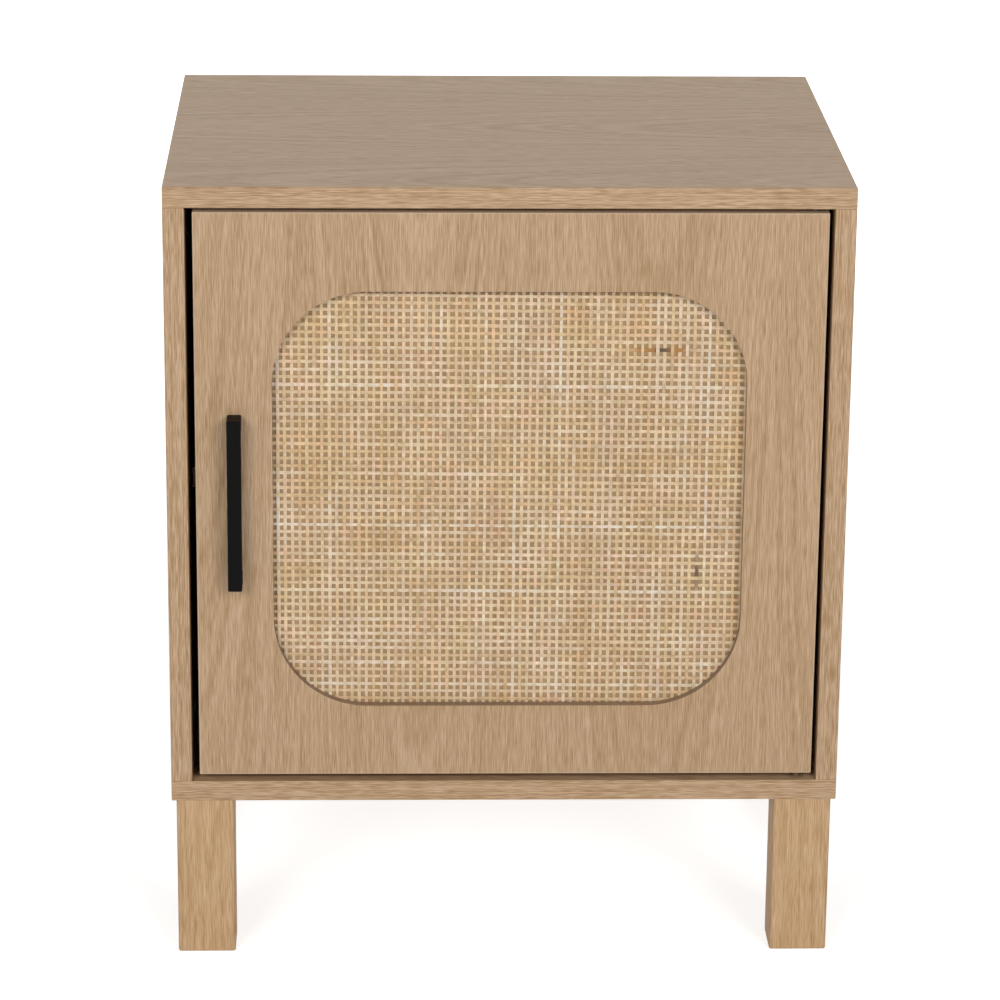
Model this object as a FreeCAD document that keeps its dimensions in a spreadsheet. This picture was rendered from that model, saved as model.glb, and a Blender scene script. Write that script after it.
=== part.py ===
import FreeCAD, Part
import os
import re
import Sketcher
from FreeCAD import Placement, Rotation, Vector

# Storage side table with one inset door: a boarded box on four legs, with cane in the door.
# Millimetres, +Z up, the door faces -Y, origin on the floor under the middle of the whole object.

SIZES = {
    # box of boards
    "overall_width": 480,
    "carcass_depth": 365,
    "overall_height": 573,
    "board": 15,
    "board_skin": 4,
    "edge_round": 0.6,
    # back panel in its grooves
    "back_board": 3,
    "back_inset": 10,
    "groove_depth": 5,
    "groove_slack": 0.2,
    # legs
    "leg_height": 119,
    "leg_width": 41.5,
    "leg_depth": 36,
    "leg_inset": 3.4,
    "leg_setback": 1,
    "leg_corner": 2,
    "foot_round": 1.6,
    # leg bolt, insert and dowel
    "bolt_radius": 3,
    "bolt_grip": 22,
    "bolt_head_radius": 6,
    "bolt_head_height": 3.5,
    "bolt_head_sink": 4,
    "bolt_head_room": 0.2,
    "bolt_key_radius": 2,
    "bolt_key_depth": 2,
    "insert_radius": 5,
    "insert_length": 14,
    "leg_bolt_inset": 22,
    "leg_dowel_offset": 12,
    # dowels
    "dowel_radius": 4,
    "dowel_length": 30,
    "dowel_tip": 1,
    "dowel_inset": 100,
    # cam locks and cam bolts
    "cam_inset": 60,
    "cam_offset": 34,
    "cam_radius": 7.5,
    "cam_skin": 3,
    "cam_cross_length": 9,
    "cam_cross_width": 1.4,
    "cam_cross_depth": 2,
    "cam_thread_radius": 3,
    "cam_shaft_radius": 3.5,
    "cam_bore_radius": 4,
    "cam_neck_radius": 2.4,
    "cam_head_radius": 3.4,
    "cam_head_length": 4,
    "cam_room": 0.4,
    # shelf and its pins
    "shelf_setback": 55,
    "shelf_level": 205,
    "shelf_slack": 0.8,
    "shelf_pin_inset": 45,
    "shelf_pin_radius": 2.5,
    "shelf_pin_reach": 8.5,
    "spade_length": 9,
    "spade_width": 10,
    "spade_height": 6,
    "spade_toe": 2,
    # door in its opening
    "door_board": 15,
    "door_setback": 1,
    "gap_left": 5.5,
    "gap_right": 3.7,
    "gap_above": 3,
    "gap_below": 5,
    # cut-out in the door, cane and the board behind it
    "stile": 54,
    "top_rail": 56.5,
    "bottom_rail": 52.5,
    "window_radius": 67,
    "rebate": 11,
    "rebate_spare": 1.9,
    "panel_slack": 0.4,
    "cane_thickness": 1.6,
    "backing_board": 4,
    "backing_screw_radius": 1.5,
    "lip_skin": 3,
    "backing_head_radius": 3,
    "backing_head_height": 1.6,
    # handle and its screws
    "handle_length": 125.4,
    "handle_drop": 0.45,
    "handle_width": 10,
    "handle_projection": 17,
    "handle_bar": 8,
    "handle_post": 10,
    "handle_round": 0.9,
    "handle_off_middle": 0.5,
    "handle_screw_radius": 2,
    "handle_screw_bite": 9,
    "handle_head_radius": 4,
    "handle_head_height": 2.4,
    # door pivots
    "pivot_inset": 10,
    "pivot_radius": 2.5,
    "pivot_in_door": 25,
    "pivot_pad": 1.2,
    "pivot_fit": 0.05,
    "pivot_tip": 0.6,
    "bushing_radius": 4,
    "bushing_bottom": 1,
    "bushing_flange_radius": 6,
    "bushing_flange": 1.6,
    # magnetic catch under the top panel, and its strike plate on the door
    "catch_along": 70,
    "catch_length": 46,
    "catch_depth": 16,
    "catch_drop": 15,
    "catch_gap": 0.3,
    "catch_round": 1.5,
    "magnet_drop": 9,
    "magnet_length": 22,
    "magnet_depth": 11,
    "magnet_thickness": 5,
    "pole_plate": 1.2,
    "pole_proud": 0.6,
    "catch_screw_spacing": 34,
    "catch_screw_radius": 1.6,
    "catch_screw_bite": 8,
    "catch_head_radius": 3.2,
    "catch_head_height": 1.8,
    "strike_board": 1.2,
    "strike_length": 40,
    "strike_height": 12,
    "strike_round": 2,
    "strike_sink": 0.7,
    "strike_screw_spacing": 30,
    "strike_screw_radius": 1.4,
    "strike_screw_bite": 9,
    "strike_head_radius": 2.5,
    # clearance round a screw, bolt, dowel or cam in its hole, and the spare depth below it
    "hole_fit": 0.05,
    "hole_spare": 0.4,
}

PLACES = {
    "half_width": "overall_width / 2",
    "side_face": "half_width - board",
    "inner_width": "2 * side_face",
    "handle_reach": "handle_projection - door_setback",
    "front": "(handle_reach - carcass_depth) / 2",
    "rear": "front + carcass_depth",
    "floor_level": "leg_height + board",
    "ceiling": "overall_height - board",
    "side_height": "ceiling - floor_level",
    "blind_depth": "board - board_skin",
    "dowel_depth": "blind_depth - hole_spare",
    "cam_thread_depth": "blind_depth - hole_spare",
    "cam_depth": "board - cam_skin",
    "back_near": "carcass_depth - back_inset - back_board",
    "door_left": "gap_left - side_face",
    "door_width": "inner_width - gap_left - gap_right",
    "door_bottom": "floor_level + gap_below",
    "door_height": "side_height - gap_below - gap_above",
    "door_top": "door_bottom + door_height",
    "door_front": "front + door_setback",
    "door_rear": "door_front + door_board",
    "lip": "door_board - cane_thickness - backing_board - rebate_spare",
    "backing_screw_bite": "lip - lip_skin",
    "window_right": "door_width - stile",
    "window_top": "door_height - top_rail",
    "window_wide": "window_right - stile",
    "window_tall": "window_top - bottom_rail",
    "panel_left": "stile - rebate + panel_slack",
    "panel_bottom": "bottom_rail - rebate + panel_slack",
    "panel_wide": "window_wide + 2 * rebate - 2 * panel_slack",
    "panel_tall": "window_tall + 2 * rebate - 2 * panel_slack",
    "handle_bottom": "(door_height - handle_length) / 2 - handle_drop",
    "handle_inset": "stile / 2 + handle_off_middle",
    "pivot_in_panel": "blind_depth - bushing_bottom - pivot_pad",
    "pivot_along": "door_width - pivot_inset",
    "pivot_x": "door_left + pivot_along",
    "pivot_y": "door_front + door_board / 2",
    "leg_middle_x": "half_width - leg_inset - leg_width / 2",
    "leg_bolt_y": "leg_setback + leg_bolt_inset",
    "shelf_rear": "back_near - shelf_slack",
    "shelf_depth": "shelf_rear - shelf_setback",
    "pin_front": "shelf_setback + shelf_pin_inset",
    "pin_rear": "shelf_rear - shelf_pin_inset",
    "pin_level": "shelf_level - spade_height / 2",
    "catch_left": "door_left + catch_along - catch_length / 2",
    "catch_front": "door_rear + strike_board + catch_gap + pole_proud",
    "magnet_half": "magnet_thickness / 2 + pole_plate",
    "strike_middle": "door_height + gap_above - magnet_drop",
}

# Where the screws behind the cane stand along the cut-out's width and height.
SCREW_SPREAD_SHARES = (0.3, 0.7)
# How near an edge lies to a side of a box, of the box's diagonal, and how straight it runs along an axis.
NEAR_SHARE = 0.0001
STRAIGHT_SHARE = 0.99

# Turns that point a piece made upright along another axis.
UPRIGHT = Rotation()
HANGING = Rotation(Vector(1, 0, 0), 180)
TO_REAR = Rotation(Vector(1, 0, 0), -90)
FACING_LEFT = Rotation(Vector(0, 0, 1), 180)

doc = FreeCAD.newDocument("storage_side_table")
subparts = []


def tied(text):
    """The formula with every size and place given its sheet's name."""
    def full_name(match):
        word = match.group(0)
        if word in SIZES:
            return "Sizes." + word
        if word in PLACES:
            return "Places." + word
        return word
    return re.sub(r"[a-z_]+", full_name, text)


def bind(item, **formulas):
    """Tie properties of a document object to the sheets; two underscores stand for a dot."""
    for name, text in formulas.items():
        item.setExpression(name.replace("__", "."), tied(text))


def number(text):
    """The formula's present value."""
    return float(sizes.evalExpression(tied(text)))


def fill_sheet(name, rows):
    """A sheet with one aliased cell for each row."""
    sheet = doc.addObject("Spreadsheet::Sheet", name)
    for line, (alias, text) in enumerate(rows.items(), start=1):
        sheet.set("A%d" % line, alias)
        sheet.set("B%d" % line, text)
        sheet.setAlias("B%d" % line, alias)
    doc.recompute()
    return sheet


sizes = fill_sheet("Sizes", {alias: str(value) for alias, value in SIZES.items()})
places = fill_sheet("Places", {alias: "=" + tied(text).replace("Places.", "") for alias, text in PLACES.items()})


def keep(item, label):
    """Mark a finished sub-part for writing, under its own label."""
    item.Label = label
    subparts.append(item)


def move(item, x, y, z):
    """Tie a placement's base to three formulas."""
    bind(item, Placement__Base__x=x, Placement__Base__y=y, Placement__Base__z=z)
    return item


def new_body(name, x="0", y="0", z="0"):
    """An empty body whose own origin lies at the place that three formulas give."""
    return move(doc.addObject("PartDesign::Body", name), x, y, z)


def new_sketch(body, name, role, lift):
    """An empty sketch on one of the body's origin planes, lifted along the plane's normal."""
    sketch = body.newObject("Sketcher::SketchObject", name)
    plane = next(feature for feature in body.Origin.OriginFeatures if feature.Role == role)
    sketch.AttachmentSupport = (plane, [""])
    sketch.MapMode = "FlatFace"
    bind(sketch, AttachmentOffset__Base__z=lift)
    return sketch


def hold(sketch, index, point, spot):
    """Hold one point of the sketch at a pair of formulas."""
    for kind, axis, text in (("DistanceX", -2, spot[0]), ("DistanceY", -1, spot[1])):
        if text == "0":
            sketch.addConstraint(Sketcher.Constraint("PointOnObject", index, point, axis))
        else:
            rule = sketch.addConstraint(Sketcher.Constraint(kind, -1, 1, index, point, number(text)))
            bind(sketch, **{"Constraints[%d]" % rule: text})


def polygon(body, name, role, corners, lift="0"):
    """A closed outline of straight lines through corners given as pairs of formulas."""
    sketch = new_sketch(body, name, role, lift)
    spots = [Vector(number(x), number(y), 0) for x, y in corners]
    for start, end in zip(spots, spots[1:] + spots[:1]):
        sketch.addGeometry(Part.LineSegment(start, end), False)
    for index, corner in enumerate(corners):
        sketch.addConstraint(Sketcher.Constraint("Coincident", index, 2, (index + 1) % len(corners), 1))
        hold(sketch, index, 1, corner)
    return sketch


def rectangle(body, name, role, left, right, low, high, lift="0"):
    """A closed rectangle between four formulas."""
    return polygon(body, name, role, [(left, low), (right, low), (right, high), (left, high)], lift)


def circles(body, name, role, spots, radius, lift):
    """Circles of one radius, with their middles at pairs of formulas."""
    sketch = new_sketch(body, name, role, lift)
    for index, (x, y) in enumerate(spots):
        sketch.addGeometry(Part.Circle(Vector(number(x), number(y), 0), Vector(0, 0, 1), number(radius)), False)
        hold(sketch, index, 3, (x, y))
        rule = sketch.addConstraint(Sketcher.Constraint("Radius", index, number(radius)))
        bind(sketch, **{"Constraints[%d]" % rule: radius})
    return sketch


def pad(body, sketch, length, backwards=False, middle=False):
    """Raise a sketch along its plane's normal, or against it."""
    feature = body.newObject("PartDesign::Pad", sketch.Name + "_pad")
    feature.Profile = sketch
    feature.Reversed = backwards
    feature.Midplane = middle
    bind(feature, Length=length)
    doc.recompute()
    return feature


def pocket(body, sketch, depth, along):
    """Cut a sketch into the body, along its plane's normal or against it; no depth cuts right through."""
    before = body.Shape.Volume
    feature = body.newObject("PartDesign::Pocket", sketch.Name + "_cut")
    feature.Profile = sketch
    feature.Reversed = along
    if depth:
        bind(feature, Length=depth)
    else:
        feature.Type = "ThroughAll"
    doc.recompute()
    if not body.Shape.Volume < before:
        raise RuntimeError("%s cuts nothing" % feature.Name)


def drill(body, name, role, spots, radius, depth, along, lift="0"):
    """Round holes of one radius and depth."""
    pocket(body, circles(body, name, role, spots, radius, lift), depth, along)


def soften(body, name, radius, chosen):
    """Fillet the edges of the body's present shape that a test picks."""
    base = body.Tip
    names = ["Edge%d" % count for count, edge in enumerate(base.Shape.Edges, start=1) if chosen(edge)]
    feature = body.newObject("PartDesign::Fillet", name)
    feature.Base = (base, names)
    bind(feature, Radius=radius)
    doc.recompute()


def on_two_sides(body):
    """A test for the edges that lie on two sides of the body's present bounding box."""
    box = body.Tip.Shape.BoundBox
    sides = ((box.XMin, box.XMax), (box.YMin, box.YMax), (box.ZMin, box.ZMax))
    near = box.DiagonalLength * NEAR_SHARE

    def chosen(edge):
        own = edge.BoundBox
        spans = ((own.XMin, own.XMax), (own.YMin, own.YMax), (own.ZMin, own.ZMax))
        flat = [max(abs(low - side), abs(high - side)) for (low, high), pair in zip(spans, sides) for side in pair]
        return sum(gap < near for gap in flat) >= 2
    return chosen


def runs_along(axis, inside=None):
    """A test for straight edges along an axis, and within a box where one is given."""
    def chosen(edge):
        ends = [vertex.Point for vertex in edge.Vertexes]
        if len(ends) < 2 or edge.Curve.TypeId != "Part::GeomLine":
            return False
        run = ends[1] - ends[0]
        return abs(run.dot(axis)) > run.Length * STRAIGHT_SHARE and (inside is None or inside(edge.CenterOfMass))
    return chosen


def turned(name, profile):
    """A round piece at its own origin, upright: a profile of radius and height turned about Z."""
    body = new_body(name)
    sketch = polygon(body, name + "_profile", "XZ_Plane", profile)
    feature = body.newObject("PartDesign::Revolution", name + "_turn")
    feature.Profile = sketch
    feature.ReferenceAxis = (sketch, ["V_Axis"])
    doc.recompute()
    return body


def group(label, model, spots):
    """Copies of one model, each at three formulas and a turn, kept as one group of solids."""
    copies = []
    for x, y, z, turn in spots:
        copy = doc.addObject("App::Link", label + "_copy")
        copy.LinkedObject = model
        copy.Placement = Placement(Vector(), turn)
        copies.append(move(copy, x, y, z))
    compound = doc.addObject("Part::Compound", label)
    compound.Links = copies
    keep(compound, label)


def screw(name, radius, length, head_radius, head_height):
    """A screw standing on its tip."""
    return turned(name, [
        ("0", "0"), (radius, "0"), (radius, length), (head_radius, length),
        (head_radius, "%s + %s" % (length, head_height)), ("0", "%s + %s" % (length, head_height)),
    ])


# Boards of the box

def joint_spots(inset):
    """Places along both sides of a panel, in the panel's own corner frame."""
    return [(x, y) for x in ("board / 2", "overall_width - board / 2") for y in (inset, "carcass_depth - " + inset)]


def leg_spots(offset="0"):
    """Bolt places of the four legs in a panel's corner frame, moved outwards by an offset."""
    return [
        (x, y)
        for x in ("half_width - leg_middle_x - " + offset, "half_width + leg_middle_x + " + offset)
        for y in ("leg_bolt_y", "carcass_depth - leg_bolt_y")
    ]


def wide_panel(label, level, lift, along):
    """Top or bottom panel: board with holes for the corner joints, a groove for the back and a pivot bore."""
    body = new_body(label, "-half_width", "front", level)
    pad(body, rectangle(body, label + "_outline", "XY_Plane", "0", "overall_width", "0", "carcass_depth"), "board")
    soften(body, label + "_edges", "edge_round", on_two_sides(body))
    drill(body, label + "_cam_holes", "XY_Plane", joint_spots("cam_inset"), "cam_thread_radius + hole_fit",
          "blind_depth", along, lift)
    drill(body, label + "_dowel_holes", "XY_Plane", joint_spots("dowel_inset"), "dowel_radius + hole_fit",
          "blind_depth", along, lift)
    pivot_spot = [("pivot_x + half_width", "pivot_y - front")]
    for name, radius, depth in (("hole", "bushing_radius", "blind_depth"),
                                ("sink", "bushing_flange_radius", "bushing_flange")):
        drill(body, "%s_pivot_%s" % (label, name), "XY_Plane", pivot_spot, radius + " + hole_fit", depth, along, lift)
    groove = rectangle(body, label + "_groove", "XY_Plane", "board - groove_depth",
                       "overall_width - board + groove_depth", "back_near - groove_slack",
                       "back_near + back_board + groove_slack", lift)
    pocket(body, groove, "groove_depth", along)
    keep(body, label)
    return body


def bottom_panel():
    """The bottom panel also takes the leg bolts from above and the leg dowels from below."""
    body = wide_panel("bottom_panel", "leg_height", "board", False)
    drill(body, "bolt_heads", "XY_Plane", leg_spots(), "bolt_head_radius + bolt_head_room", "bolt_head_sink",
          False, "board")
    drill(body, "bolt_holes", "XY_Plane", leg_spots(), "bolt_radius + hole_fit", None, False, "board")
    drill(body, "leg_dowel_holes", "XY_Plane", leg_spots("leg_dowel_offset"), "dowel_radius + hole_fit",
          "blind_depth", True)


def side_panel(label, x, lift, along):
    """Side panel: cam bores and shelf pin holes in its inner face, bolt and dowel bores in both ends."""
    body = new_body(label, x, "front", "floor_level")
    pad(body, rectangle(body, label + "_outline", "YZ_Plane", "0", "carcass_depth", "0", "side_height"), "board")
    soften(body, label + "_edges", "edge_round", on_two_sides(body))
    cam_spots = [
        (y, z) for y in ("cam_inset", "carcass_depth - cam_inset") for z in ("cam_offset", "side_height - cam_offset")
    ]
    drill(body, label + "_cams", "YZ_Plane", cam_spots, "cam_radius + hole_fit", "cam_depth", along, lift)
    pin_spots = [("pin_front", "pin_level"), ("pin_rear", "pin_level")]
    drill(body, label + "_pins", "YZ_Plane", pin_spots, "shelf_pin_radius + hole_fit",
          "shelf_pin_reach + hole_spare", along, lift)
    groove = rectangle(body, label + "_groove", "YZ_Plane", "back_near - groove_slack",
                       "back_near + back_board + groove_slack", "0", "side_height", lift)
    pocket(body, groove, "groove_depth", along)
    for end, end_lift, end_along in (("low", "0", True), ("high", "side_height", False)):
        for name, inset, radius, depth in (
            ("bolts", "cam_inset", "cam_bore_radius", "cam_offset"),
            ("dowels", "dowel_inset", "dowel_radius + hole_fit", "dowel_length - dowel_depth + hole_spare"),
        ):
            spots = [("board / 2", inset), ("board / 2", "carcass_depth - " + inset)]
            drill(body, "%s_%s_%s" % (label, end, name), "XY_Plane", spots, radius, depth, end_along, end_lift)
    keep(body, label)


def back_panel():
    """Thin board that stands in the grooves of all four boards."""
    body = new_body("back_panel", "-side_face - groove_depth + groove_slack", "front + back_near",
                    "floor_level - groove_depth + groove_slack")
    outline = rectangle(body, "back_outline", "XZ_Plane", "0", "inner_width + 2 * groove_depth - 2 * groove_slack",
                        "0", "side_height + 2 * groove_depth - 2 * groove_slack")
    pad(body, outline, "back_board", backwards=True)
    keep(body, "back_panel")


def shelf():
    """Loose shelf between the sides, on four pins."""
    body = new_body("shelf", "shelf_slack - side_face", "front + shelf_setback", "floor_level + shelf_level")
    outline = rectangle(body, "shelf_outline", "XY_Plane", "0", "inner_width - 2 * shelf_slack", "0", "shelf_depth")
    pad(body, outline, "board")
    soften(body, "shelf_edges", "edge_round", on_two_sides(body))
    keep(body, "shelf")


def shelf_pins():
    """Spade pins: a round peg in the side panel and a gusseted flat that carries the shelf."""
    body = new_body("shelf_pin")
    gusset = [("0", "0"), ("spade_toe", "0"), ("spade_length", "spade_height - spade_toe"),
              ("spade_length", "spade_height"), ("0", "spade_height")]
    pad(body, polygon(body, "spade_outline", "XZ_Plane", gusset), "spade_width", middle=True)
    peg = circles(body, "peg_outline", "YZ_Plane", [("0", "spade_height / 2")], "shelf_pin_radius", "0")
    pad(body, peg, "shelf_pin_reach", backwards=True)
    level = "floor_level + shelf_level - spade_height"
    spots = [(x, y, level, turn) for x, turn in (("-side_face", UPRIGHT), ("side_face", FACING_LEFT))
             for y in ("front + pin_front", "front + pin_rear")]
    group("shelf_pins", body, spots)


# Legs and what holds them

def leg(label, x, y, dowel_x, bolt_y):
    """Leg with rounded edges, bored from above for its insert, bolt tip and dowel."""
    body = new_body(label, x, y, "0")
    outline = rectangle(body, label + "_outline", "XY_Plane", "0", "leg_width", "0", "leg_depth")
    pad(body, outline, "leg_height")
    soften(body, label + "_corners", "leg_corner", runs_along(Vector(0, 0, 1)))
    soften(body, label + "_foot", "foot_round", lambda edge: edge.BoundBox.ZMax < number("foot_round"))
    bolt_spot = [("leg_width / 2", bolt_y)]
    drill(body, label + "_insert_bore", "XY_Plane", bolt_spot, "insert_radius + hole_fit", "insert_length",
          False, "leg_height")
    drill(body, label + "_bolt_bore", "XY_Plane", bolt_spot, "bolt_radius + hole_fit", "bolt_grip + hole_spare",
          False, "leg_height")
    drill(body, label + "_dowel_bore", "XY_Plane", [(dowel_x, bolt_y)], "dowel_radius + hole_fit",
          "dowel_length - dowel_depth + hole_spare", False, "leg_height")
    keep(body, label)


def legs():
    """Four legs, named by their corner."""
    columns = (("left", "leg_inset - half_width", "leg_width / 2 - leg_dowel_offset"),
               ("right", "half_width - leg_inset - leg_width", "leg_width / 2 + leg_dowel_offset"))
    rows = (("front", "front + leg_setback", "leg_bolt_inset"),
            ("rear", "rear - leg_setback - leg_depth", "leg_depth - leg_bolt_inset"))
    for column, x, dowel_x in columns:
        for row, y, bolt_y in rows:
            leg("%s_%s_leg" % (row, column), x, y, dowel_x, bolt_y)


def under_panel(offset, level):
    """The four leg places in the whole object's frame, at one level."""
    return [("%s - half_width" % x, "front + %s" % y, level, UPRIGHT) for x, y in leg_spots(offset)]


def leg_fixings():
    """Bolts from inside the box, threaded inserts in the legs, and one dowel that keeps each leg square."""
    length = "bolt_grip + board - bolt_head_sink"
    top = length + " + bolt_head_height"
    key = top + " - bolt_key_depth"
    bolt = turned("leg_bolt", [
        ("0", "0"), ("bolt_radius", "0"), ("bolt_radius", length), ("bolt_head_radius", length),
        ("bolt_head_radius", top), ("bolt_key_radius", top), ("bolt_key_radius", key), ("0", key),
    ])
    group("leg_bolts", bolt, under_panel("0", "leg_height - bolt_grip"))
    inner = "bolt_radius + hole_fit"
    insert = turned("leg_insert", [
        (inner, "0"), ("insert_radius", "0"), ("insert_radius", "insert_length"), (inner, "insert_length"),
    ])
    group("leg_inserts", insert, under_panel("0", "leg_height - insert_length"))


# Fastenings of the corner joints

def dowels():
    """Wood dowels with bevelled ends: one for each leg and eight in the box."""
    dowel = turned("dowel", [
        ("0", "0"), ("dowel_radius - dowel_tip", "0"), ("dowel_radius", "dowel_tip"),
        ("dowel_radius", "dowel_length - dowel_tip"), ("dowel_radius - dowel_tip", "dowel_length"),
        ("0", "dowel_length"),
    ])
    group("leg_dowels", dowel, under_panel("leg_dowel_offset", "leg_height + dowel_depth - dowel_length"))
    levels = ("floor_level - dowel_depth", "ceiling + dowel_depth - dowel_length")
    spots = [("%s - half_width" % x, "front + %s" % y, level, UPRIGHT)
             for x, y in joint_spots("dowel_inset") for level in levels]
    group("panel_dowels", dowel, spots)


def cam_bolts():
    """Bolts screwed into the top and bottom panels, with a necked head inside each cam."""
    shaft_end = "cam_thread_depth + cam_offset - cam_radius - cam_room"
    head_start = "cam_thread_depth + cam_offset - cam_head_length / 2"
    head_end = "cam_thread_depth + cam_offset + cam_head_length / 2"
    bolt = turned("cam_bolt", [
        ("0", "0"), ("cam_thread_radius", "0"), ("cam_thread_radius", "cam_thread_depth"),
        ("cam_shaft_radius", "cam_thread_depth"), ("cam_shaft_radius", shaft_end), ("cam_neck_radius", shaft_end),
        ("cam_neck_radius", head_start), ("cam_head_radius", head_start), ("cam_head_radius", head_end),
        ("0", head_end),
    ])
    levels = (("floor_level - cam_thread_depth", UPRIGHT), ("ceiling + cam_thread_depth", HANGING))
    spots = [("%s - half_width" % x, "front + %s" % y, level, turn)
             for x, y in joint_spots("cam_inset") for level, turn in levels]
    group("cam_bolts", bolt, spots)


def primitive(kind, name, x="0", y="0", z="0", turn=UPRIGHT, **formulas):
    """A primitive solid with bound sizes and place."""
    item = doc.addObject(kind, name)
    item.Placement = Placement(Vector(), turn)
    bind(item, **formulas)
    return move(item, x, y, z)


def cam_locks():
    """Round cams in the side panels, hollowed for the bolt's neck and head, with a cross for the driver."""
    to_bolt = Rotation(Vector(0, 1, 0), 90)
    axis_level = "cam_depth - board / 2"
    disc = primitive("Part::Cylinder", "cam_disc", Radius="cam_radius", Height="cam_depth")
    neck = primitive("Part::Cylinder", "cam_neck_slot", z=axis_level, turn=to_bolt,
                     Radius="cam_neck_radius + cam_room", Height="2 * cam_radius")
    head = primitive("Part::Cylinder", "cam_head_room", x="-cam_head_length / 2 - cam_room", z=axis_level,
                     turn=to_bolt, Radius="cam_head_radius + cam_room", Height="cam_head_length + 2 * cam_room")
    crosses = [
        primitive("Part::Box", "cam_cross", x="-%s / 2" % length, y="-%s / 2" % width,
                  z="cam_depth - cam_cross_depth", Length=length, Width=width, Height="2 * cam_cross_depth")
        for length, width in (("cam_cross_length", "cam_cross_width"), ("cam_cross_width", "cam_cross_length"))
    ]
    hollow = doc.addObject("Part::MultiFuse", "cam_hollow")
    hollow.Shapes = [neck, head] + crosses
    cam = doc.addObject("Part::Cut", "cam_lock")
    cam.Base = disc
    cam.Tool = hollow
    doc.recompute()
    spots = []
    for wall, inward in (("side_face + cam_depth", -1), ("-side_face - cam_depth", 1)):
        for y in ("front + cam_inset", "rear - cam_inset"):
            for z, to_end in (("floor_level + cam_offset", -1), ("ceiling - cam_offset", 1)):
                turn = Rotation(Vector(0, 0, to_end), Vector(0, to_end * inward, 0), Vector(inward, 0, 0), "ZXY")
                spots.append((wall, y, z, turn))
    group("cam_locks", cam, spots)


# Door and what is fastened to it

def border_spots(left, low):
    """Screw places round the cut-out, measured from a corner that lies left and low in the door."""
    columns = ["stile + %s * window_wide - %s" % (share, left) for share in SCREW_SPREAD_SHARES]
    rows = ["bottom_rail + %s * window_tall - %s" % (share, low) for share in SCREW_SPREAD_SHARES]
    ends = ["bottom_rail - rebate / 2 - " + low, "window_top + rebate / 2 - " + low]
    sides = ["stile - rebate / 2 - " + left, "window_right + rebate / 2 - " + left]
    return [(x, z) for x in columns for z in ends] + [(x, z) for x in sides for z in rows]


def door_frame():
    """Door board with its cut-out, a rebate behind for cane and board, and bores for handle, pins and strike."""
    body = new_body("door_frame", "door_left", "door_front", "door_bottom")
    pad(body, rectangle(body, "door_outline", "XZ_Plane", "0", "door_width", "0", "door_height"), "door_board",
        backwards=True)
    soften(body, "door_edges", "edge_round", on_two_sides(body))
    window = rectangle(body, "window_outline", "XZ_Plane", "stile", "window_right", "bottom_rail", "window_top")
    pocket(body, window, None, False)
    across = Vector(0, 1, 0)
    soften(body, "window_corners", "window_radius", runs_along(across, lambda spot: (
        number("stile / 2") < spot.x < number("door_width - stile / 2"))))
    rebate = rectangle(body, "rebate_outline", "XZ_Plane", "stile - rebate", "window_right + rebate",
                       "bottom_rail - rebate", "window_top + rebate", "-door_board")
    pocket(body, rebate, "door_board - lip", True)
    soften(body, "rebate_corners", "window_radius + rebate", runs_along(across, lambda spot: (
        number("lip") < spot.y and number("stile - 2 * rebate") < spot.x < number("window_right + 2 * rebate")
        and not number("stile - rebate / 2") < spot.x < number("window_right + rebate / 2"))))
    handle_spots = [("handle_inset", "handle_bottom + handle_post / 2"),
                    ("handle_inset", "handle_bottom + handle_length - handle_post / 2")]
    drill(body, "handle_holes", "XZ_Plane", handle_spots, "handle_screw_radius + hole_fit", None, False)
    drill(body, "backing_pilots", "XZ_Plane", border_spots("0", "0"), "backing_screw_radius + hole_fit",
          "backing_screw_bite + hole_spare", True, "-lip")
    strike_spots = [("catch_along - strike_screw_spacing / 2", "strike_middle"),
                    ("catch_along + strike_screw_spacing / 2", "strike_middle")]
    drill(body, "strike_pilots", "XZ_Plane", strike_spots, "strike_screw_radius + hole_fit",
          "strike_screw_bite + hole_spare", True, "-door_board")
    pivot_spot = [("pivot_along", "door_board / 2")]
    drill(body, "upper_pivot_bore", "XY_Plane", pivot_spot, "pivot_radius + hole_fit", "pivot_in_door",
          False, "door_height")
    drill(body, "lower_pivot_bore", "XY_Plane", pivot_spot, "pivot_radius + hole_fit", "pivot_in_door", True)
    keep(body, "door_frame")


def rebate_panel(label, depth, thickness, screw_room):
    """Rounded panel that fits the door's rebate, with holes for the screws behind the cane."""
    body = new_body(label, "door_left + panel_left", "door_front + lip + " + depth, "door_bottom + panel_bottom")
    outline = rectangle(body, label + "_outline", "XZ_Plane", "0", "panel_wide", "0", "panel_tall")
    pad(body, outline, thickness, backwards=True)
    soften(body, label + "_corners", "window_radius + rebate - panel_slack", runs_along(Vector(0, 1, 0)))
    drill(body, label + "_holes", "XZ_Plane", border_spots("panel_left", "panel_bottom"), screw_room, None, False)
    keep(body, label)


def backing_screws():
    """Pan-head screws through the board and the cane into the door's lip."""
    model = screw("backing_screw", "backing_screw_radius", "backing_screw_bite + cane_thickness + backing_board",
                  "backing_head_radius", "backing_head_height")
    spots = [("door_left + " + x, "door_front + lip - backing_screw_bite", "door_bottom + " + z, TO_REAR)
             for x, z in border_spots("0", "0")]
    group("backing_screws", model, spots)


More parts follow.
